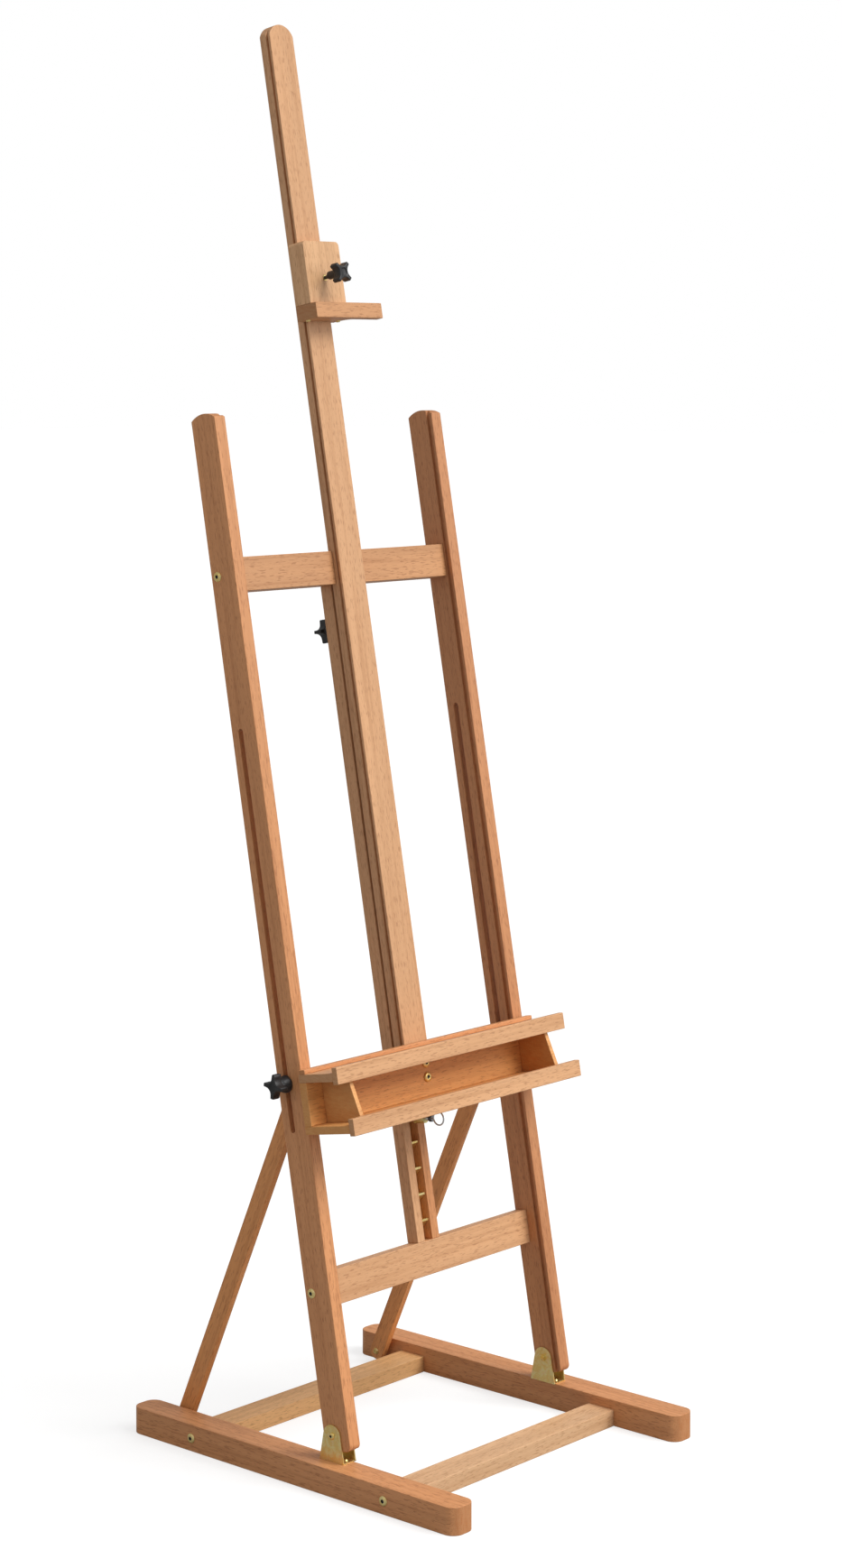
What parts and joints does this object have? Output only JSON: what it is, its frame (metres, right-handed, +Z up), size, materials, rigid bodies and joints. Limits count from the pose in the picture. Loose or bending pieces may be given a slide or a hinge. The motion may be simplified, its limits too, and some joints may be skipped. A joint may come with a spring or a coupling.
{
  "type": "artist easel",
  "caption": "Wooden studio easel: leaning H-frame on a flat base with folding stays, ratchet mast with brush tray, and a sliding canvas holder",
  "frame": {"origin": "on the floor, midway between the ends and the outer faces of the two runners", "axes": "+X to the right seen from the front, +Y to the back, +Z up"},
  "size_m": [0.5656, 0.658, 2.1618],
  "materials": {
    "beech": "oiled, fine sanded",
    "dark_beech": "plain",
    "zinc": "yellow zinc plated",
    "steel": "bright zinc plated",
    "black_plastic": "satin black"
  },
  "bodies": {
    "base": {"left_runner": "beech", "right_runner": "beech", "front_rail": "beech", "rear_rail": "beech", "rail_bolts": "zinc", "rail_nuts": "zinc", "rail_dowels": "dark_beech", "left_bracket": "zinc", "right_bracket": "zinc", "bracket_screws": "zinc", "pivot_bolts": "zinc", "pivot_nuts": "zinc", "stay_foot_screws": "zinc", "stay_foot_washers": "zinc"},
    "frame": {"left_post": "beech", "right_post": "beech", "upper_crossrail": "beech", "lower_crossrail": "beech", "crossrail_bolts": "zinc", "crossrail_nuts": "zinc", "frame_dowels": "dark_beech", "channel_left": "beech", "channel_right": "beech", "channel_batten": "dark_beech", "channel_top_block": "beech", "ratchet_rack": "zinc", "rack_screws": "zinc", "clamp_bolt": "steel", "clamp_washer": "steel"},
    "mast_knob": {"mast_knob": "black_plastic"},
    "carriage": {"mast": "beech", "tray_back_board": "beech", "tray_lower_shelf": "beech", "tray_upper_shelf": "beech", "tray_lower_lip": "beech", "tray_upper_lip": "beech", "tray_canvas_stop": "beech", "tray_left_wall": "beech", "tray_right_wall": "beech", "tray_bolts": "zinc", "tray_inserts": "zinc", "tray_guides": "dark_beech", "tray_screws": "zinc", "latch_barrel": "zinc"},
    "latch": {"latch_pawl": "zinc", "latch_rod": "steel", "latch_nut": "black_plastic", "pull_ring": "steel"},
    "holder": {"holder_block": "beech", "holder_ledge": "beech", "ledge_screws": "zinc", "holder_insert": "zinc"},
    "holder_knob": {"holder_screw": "steel", "holder_knob": "black_plastic"},
    "left_stay": {"left_stay": "beech", "left_stay_bolt": "zinc"},
    "left_stay_knob": {"left_stay_knob": "black_plastic"},
    "right_stay": {"right_stay": "beech", "right_stay_bolt": "zinc"},
    "right_stay_knob": {"right_stay_knob": "black_plastic"}
  },
  "joints": [
    {"name": "frame_tilt", "type": "hinge", "parent": "base", "child": "frame", "pos_m": [0, -0.07, 0.079], "axis": [1, 0, 0], "range_deg": [-11.3, 2.2]},
    {"name": "left_stay_swing", "type": "hinge", "parent": "base", "child": "left_stay", "pos_m": [-0.22, 0.272, 0.02], "axis": [1, 0, 0], "range_deg": [-12.5, 2.6]},
    {"name": "right_stay_swing", "type": "hinge", "parent": "base", "child": "right_stay", "pos_m": [0.22, 0.272, 0.02], "axis": [1, 0, 0], "range_deg": [-12.5, 2.6]},
    {"name": "mast_slide", "type": "slide", "parent": "frame", "child": "carriage", "axis": [0, 0.1788, 0.9839], "range_m": [-0.1576, 0.4334]},
    {"name": "latch_slide", "type": "slide", "parent": "carriage", "child": "latch", "axis": [0, 0.9839, -0.1788], "range_m": [0, 0.006]},
    {"name": "holder_slide", "type": "slide", "parent": "carriage", "child": "holder", "axis": [0, 0.1788, 0.9839], "range_m": [-1.1, 0.3]},
    {"name": "holder_knob_turn", "type": "hinge", "parent": "holder", "child": "holder_knob", "pos_m": [0, 0.17636, 1.7702], "axis": [0, 0.9839, -0.1788], "continuous": true},
    {"name": "mast_knob_turn", "type": "hinge", "parent": "frame", "child": "mast_knob", "pos_m": [0, 0.16925, 1.22773], "axis": [0, 0.9839, -0.1788], "continuous": true},
    {"name": "left_stay_knob_turn", "type": "hinge", "parent": "left_stay", "child": "left_stay_knob", "pos_m": [-0.26, 0.02173, 0.58373], "axis": [1, 0, 0], "continuous": true},
    {"name": "right_stay_knob_turn", "type": "hinge", "parent": "right_stay", "child": "right_stay_knob", "pos_m": [0.26, 0.02173, 0.58373], "axis": [1, 0, 0], "continuous": true}
  ],
  "couplings": [
    {"joint": "left_stay_swing", "follows": "frame_tilt", "ratio": 1.06},
    {"joint": "right_stay_swing", "follows": "frame_tilt", "ratio": 1.06}
  ]
}
